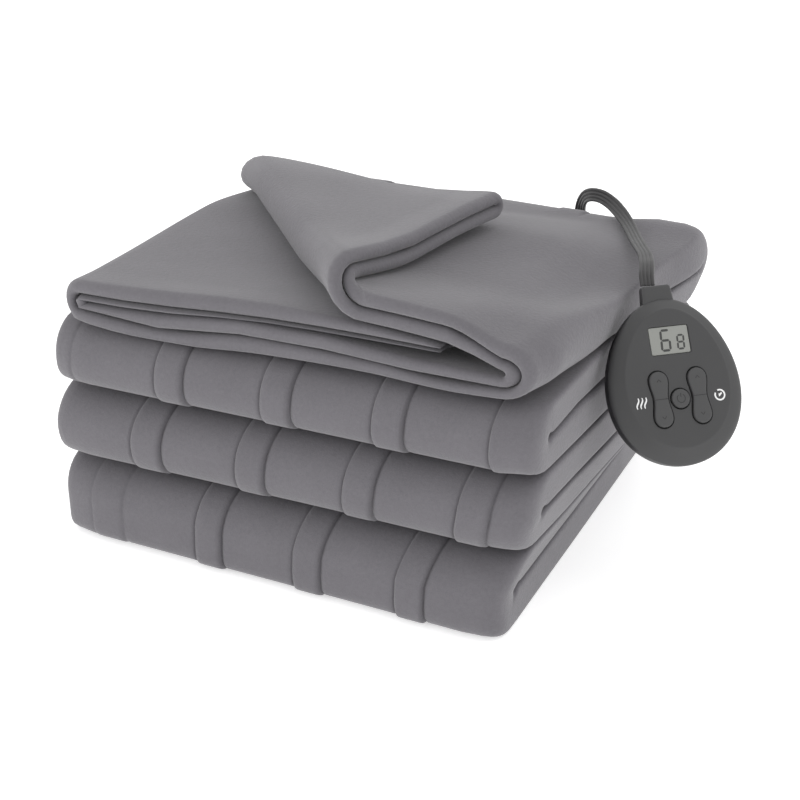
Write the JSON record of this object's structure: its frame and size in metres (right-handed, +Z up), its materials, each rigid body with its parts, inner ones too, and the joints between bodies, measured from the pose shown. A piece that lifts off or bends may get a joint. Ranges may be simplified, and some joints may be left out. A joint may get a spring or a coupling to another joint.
{
  "type": "electric heated blanket",
  "caption": "Grey fleece electric blanket folded into a neat stack with a corner turned back, and an oval hand controller on a flat lead that ends in a coil and a plug.",
  "frame": {"origin": "on the underside, under the middle of the folded stack, at floor level", "axes": "+Z up, -Y towards the rolled front folds, +X towards the side with the controller"},
  "size_m": [0.4043, 0.4428, 0.2239],
  "materials": {
    "grey_fleece": "matte fleece",
    "black_shell": "satin black",
    "dark_grey_face": "fine matte texture",
    "display_window": "clear cover over a pale display",
    "grey_keys": "soft matte",
    "lead_jacket": "satin",
    "tie_strap": "matte",
    "plug_body": "satin",
    "plug_blades": "bright nickel plate"
  },
  "bodies": {
    "root": {"blanket": "grey_fleece", "controller_base": "black_shell", "controller_face": "dark_grey_face", "display_window": "display_window", "lead_gland": "dark_grey_face", "lead_over": "lead_jacket", "lead_coil": "lead_jacket", "lead_tail": "lead_jacket", "coil_tie": "tie_strap", "plug_body": "plug_body", "plug_blade_near": "plug_blades", "plug_blade_far": "plug_blades"},
    "left_rocker": {"rocker_left": "grey_keys"},
    "right_rocker": {"rocker_right": "grey_keys"},
    "power": {"power_key": "grey_keys"}
  },
  "joints": [
    {"name": "left_rocker_tilt", "type": "hinge", "parent": "root", "child": "left_rocker", "pos_m": [0.19789, -0.0456, 0.12701], "axis": [0.7431, 0.6691, 0], "range_deg": [-3, 3], "stiffness_Nm_per_rad": 0.05},
    {"name": "right_rocker_tilt", "type": "hinge", "parent": "root", "child": "right_rocker", "pos_m": [0.21662, -0.02874, 0.12701], "axis": [0.7431, 0.6691, 0], "range_deg": [-3, 3], "stiffness_Nm_per_rad": 0.05},
    {"name": "power_press", "type": "slide", "parent": "root", "child": "power", "axis": [-0.5675, 0.6302, -0.5299], "range_m": [0, 0.001], "stiffness_N_per_m": 400, "springref_m": -0.0005}
  ]
}
